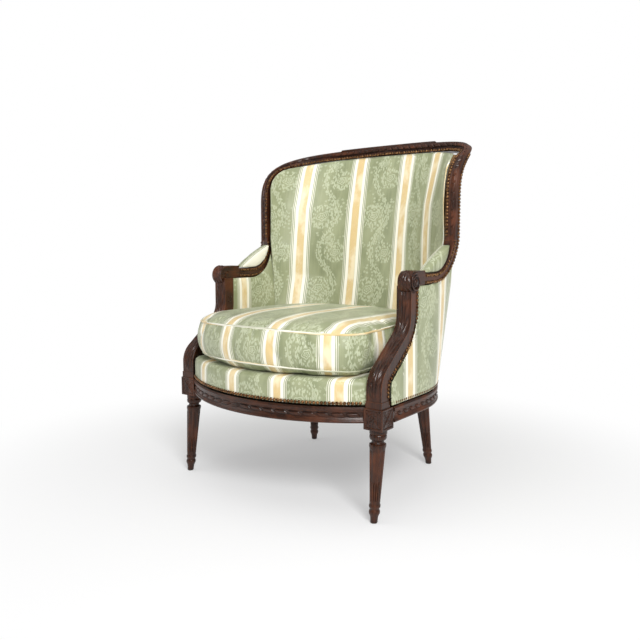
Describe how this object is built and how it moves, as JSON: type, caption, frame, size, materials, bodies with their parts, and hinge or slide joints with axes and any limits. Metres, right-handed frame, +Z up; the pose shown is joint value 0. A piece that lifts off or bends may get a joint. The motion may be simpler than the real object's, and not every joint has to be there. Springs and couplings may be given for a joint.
{
  "type": "armchair",
  "caption": "Gondola bergere armchair: show-wood frame with turned fluted legs, scrolled padded arms, striped upholstery, close nailing and a loose seat cushion that lifts out.",
  "frame": {"origin": "on the floor, under the middle of the chair's length and width", "axes": "+Z up, +X to the sitter's left, the chair faces -Y"},
  "size_m": [0.7012, 0.7258, 0.9825],
  "materials": {
    "frame_wood": "satin wax polish",
    "hidden_wood": "raw sawn",
    "striped_silk": "satin damask stripe",
    "filling": "hair and feather filling",
    "hessian": "coarse open weave",
    "webbing": "herringbone jute",
    "dust_cloth": "plain black cloth",
    "nail_brass": "antique bronze",
    "glide_steel": "polished"
  },
  "bodies": {
    "chair": {"arm_left": "frame_wood", "arm_pad_left": "striped_silk", "arm_pad_right": "striped_silk", "arm_post_left": "hidden_wood", "arm_post_right": "hidden_wood", "arm_right": "frame_wood", "arm_support_left": "frame_wood", "arm_support_right": "frame_wood", "back_hessian": "hessian", "back_post_left": "hidden_wood", "back_post_right": "hidden_wood", "back_rail": "frame_wood", "back_stile_left": "frame_wood", "back_stile_right": "frame_wood", "back_tack_rail": "hidden_wood", "crest_rail": "frame_wood", "deck_cover": "striped_silk", "dust_cover": "dust_cloth", "foot_glides": "glide_steel", "front_leg_left": "frame_wood", "front_leg_right": "frame_wood", "front_rail": "frame_wood", "glue_blocks": "hidden_wood", "inside_arm_cover_left": "striped_silk", "inside_arm_cover_right": "striped_silk", "inside_arm_stuffing_left": "filling", "inside_arm_stuffing_right": "filling", "inside_back_cover": "striped_silk", "inside_back_stuffing": "filling", "nails_arm_left": "nail_brass", "nails_arm_right": "nail_brass", "nails_back_frame": "nail_brass", "nails_front_border": "nail_brass", "nails_seat_rail": "nail_brass", "outside_arm_cover_left": "striped_silk", "outside_arm_cover_right": "striped_silk", "outside_back_cover": "striped_silk", "rail_pegs": "hidden_wood", "rear_leg_left": "frame_wood", "rear_leg_right": "frame_wood", "seat_hessian": "hessian", "seat_stuffing": "filling", "side_rail_left": "frame_wood", "side_rail_right": "frame_wood", "webbing_front_to_back": "webbing", "webbing_side_to_side": "webbing"},
    "cushion": {"cushion_cover": "striped_silk", "cushion_filling": "filling"}
  },
  "joints": [
    {"name": "cushion_lift", "type": "slide", "parent": "chair", "child": "cushion", "axis": [0, 0, 1], "range_m": [0, 0.64]}
  ]
}
